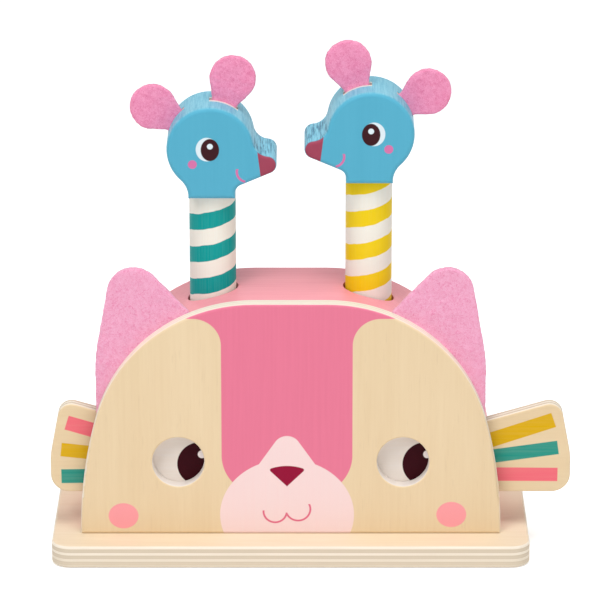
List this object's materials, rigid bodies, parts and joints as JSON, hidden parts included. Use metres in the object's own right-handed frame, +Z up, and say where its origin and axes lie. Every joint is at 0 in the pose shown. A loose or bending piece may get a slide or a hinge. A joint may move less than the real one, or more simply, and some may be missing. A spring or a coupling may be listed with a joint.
{
  "type": "pop up animal toy",
  "caption": "Wooden pop-up toy: a domed cat on a plywood base, two striped rods with mouse heads that rise and fall in turn, and eyes that slide from side to side.",
  "frame": {"origin": "centre of the base plate's underside", "axes": "+X to the viewer's right, -Y towards the viewer, +Z up"},
  "size_m": [0.2248, 0.085, 0.2222],
  "materials": {
    "birch_plywood": "satin",
    "printed_plywood": "satin",
    "beech_dowel": "satin",
    "pink_paint": "gloss",
    "blue_paint": "satin",
    "striped_paint": "gloss",
    "white_paint": "satin",
    "pink_felt": "matte",
    "zinc_steel": "satin"
  },
  "bodies": {
    "housing": {"base_plate": "birch_plywood", "base_screws": "zinc_steel", "front_panel": "printed_plywood", "back_panel": "pink_paint", "dome_shell": "pink_paint", "lower_guide": "birch_plywood", "upper_guide": "birch_plywood", "rear_cleat": "birch_plywood", "left_cat_ear": "pink_felt", "right_cat_ear": "pink_felt", "slider_keeper": "birch_plywood", "rocker_axle": "beech_dowel", "front_spacer": "beech_dowel", "rear_spacer": "beech_dowel"},
    "eyes": {"eye_slider": "birch_plywood", "eye_board": "white_paint"},
    "rocker": {"rocker_beam": "birch_plywood"},
    "left_mouse": {"left_rod": "striped_paint", "left_rod_pin": "zinc_steel", "left_neck_dowel": "beech_dowel", "left_mouse_head": "blue_paint", "left_mouse_inner_ear": "pink_felt", "left_mouse_outer_ear": "pink_felt"},
    "right_mouse": {"right_rod": "striped_paint", "right_rod_pin": "zinc_steel", "right_neck_dowel": "beech_dowel", "right_mouse_head": "blue_paint", "right_mouse_inner_ear": "pink_felt", "right_mouse_outer_ear": "pink_felt"}
  },
  "joints": [
    {"name": "right_mouse_lift", "type": "slide", "parent": "housing", "child": "right_mouse", "axis": [0, 0, 1], "range_m": [-0.02135, 0.01465]},
    {"name": "left_mouse_lift", "type": "slide", "parent": "housing", "child": "left_mouse", "axis": [0, 0, 1], "range_m": [-0.0147, 0.0214]},
    {"name": "rocker_tilt", "type": "hinge", "parent": "housing", "child": "rocker", "pos_m": [0, 0.003, 0.042], "axis": [0, -1, 0], "range_deg": [-34.5, 23.8]},
    {"name": "eye_slide", "type": "slide", "parent": "housing", "child": "eyes", "axis": [1, 0, 0], "range_m": [-0.017, 0]}
  ],
  "couplings": [
    {"joint": "left_mouse_lift", "follows": "right_mouse_lift", "ratio": -1},
    {"joint": "rocker_tilt", "follows": "right_mouse_lift", "rad_per_m": 27.96}
  ]
}
